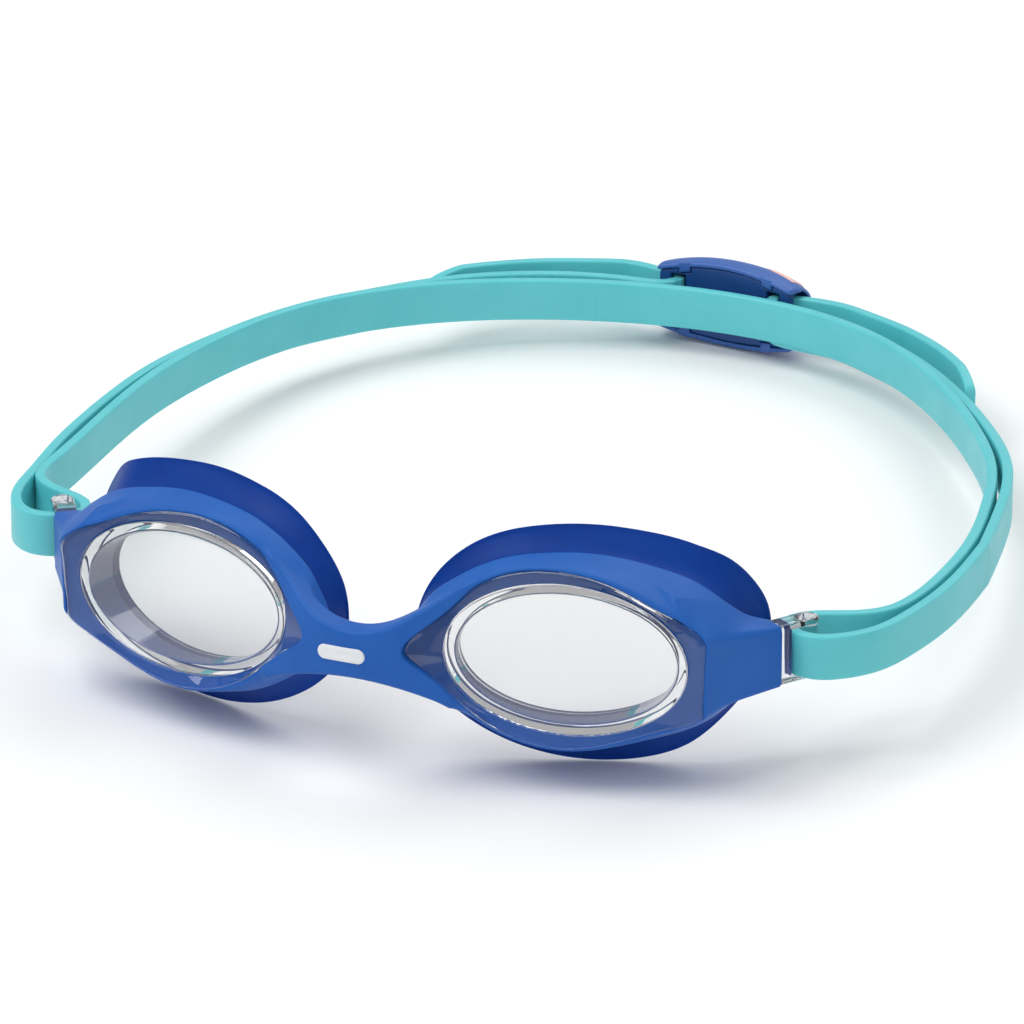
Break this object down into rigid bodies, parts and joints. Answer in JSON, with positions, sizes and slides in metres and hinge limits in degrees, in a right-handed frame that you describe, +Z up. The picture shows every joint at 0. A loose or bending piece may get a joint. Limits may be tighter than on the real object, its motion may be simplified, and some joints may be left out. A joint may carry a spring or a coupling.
{
  "type": "swim goggles",
  "caption": "Low-profile junior swim goggles: clear oval cups in a soft one-piece frame with flared seals, a doubled flat strap and a rear adjusting clip.",
  "frame": {"origin": "centre of the bounding box's bottom face, with the goggles lying on both seals and the clip", "axes": "+Z up from the table, -Y ahead of the windows, +X towards the wearer's left"},
  "size_m": [0.1706, 0.1888, 0.0414],
  "materials": {
    "clear_polycarbonate": "clear polished polycarbonate",
    "frame_blue": "satin thermoplastic elastomer",
    "seal_blue": "satin soft elastomer, slightly translucent at its lip",
    "mark_white": "flat print",
    "strap_teal": "satin silicone, slightly translucent at its edges",
    "clip_blue": "fine satin moulding",
    "clip_navy": "fine satin moulding",
    "clip_coral": "satin inlay"
  },
  "bodies": {
    "goggles": {"lens_left": "clear_polycarbonate", "lens_right": "clear_polycarbonate", "frame": "frame_blue", "seal_left": "seal_blue", "seal_right": "seal_blue", "bridge_mark": "mark_white", "strap_fold_left": "strap_teal", "strap_fold_right": "strap_teal"},
    "strap": {"strap_inner_band": "strap_teal", "strap_leg_left": "strap_teal", "strap_leg_right": "strap_teal"},
    "clip": {"clip_cover": "clip_blue", "clip_insert": "clip_navy", "clip_inlay": "clip_coral", "strap_turn_left": "strap_teal", "strap_turn_right": "strap_teal"},
    "tail_left": {"strap_tail_left": "strap_teal"},
    "tail_right": {"strap_tail_right": "strap_teal"}
  },
  "joints": [
    {"name": "strap_swing", "type": "hinge", "parent": "goggles", "child": "strap", "pos_m": [-0.00009, -0.06002, 0.02029], "axis": [1, 0, 0], "range_deg": [-25, 25]},
    {"name": "clip_slide", "type": "hinge", "parent": "strap", "child": "clip", "pos_m": [-0.00509, 0.00976, 0.01472], "axis": [0, 0.0795, 0.9968], "range_deg": [-4, 4]},
    {"name": "tail_left_pull", "type": "hinge", "parent": "clip", "child": "tail_left", "pos_m": [-0.00509, 0.00976, 0.01472], "axis": [0, 0.0795, 0.9968], "range_deg": [-4, 4]},
    {"name": "tail_right_pull", "type": "hinge", "parent": "clip", "child": "tail_right", "pos_m": [-0.00509, 0.00976, 0.01472], "axis": [0, 0.0795, 0.9968], "range_deg": [-4, 4]}
  ],
  "couplings": [
    {"joint": "tail_left_pull", "follows": "clip_slide", "ratio": 1},
    {"joint": "tail_right_pull", "follows": "clip_slide", "ratio": 1}
  ]
}
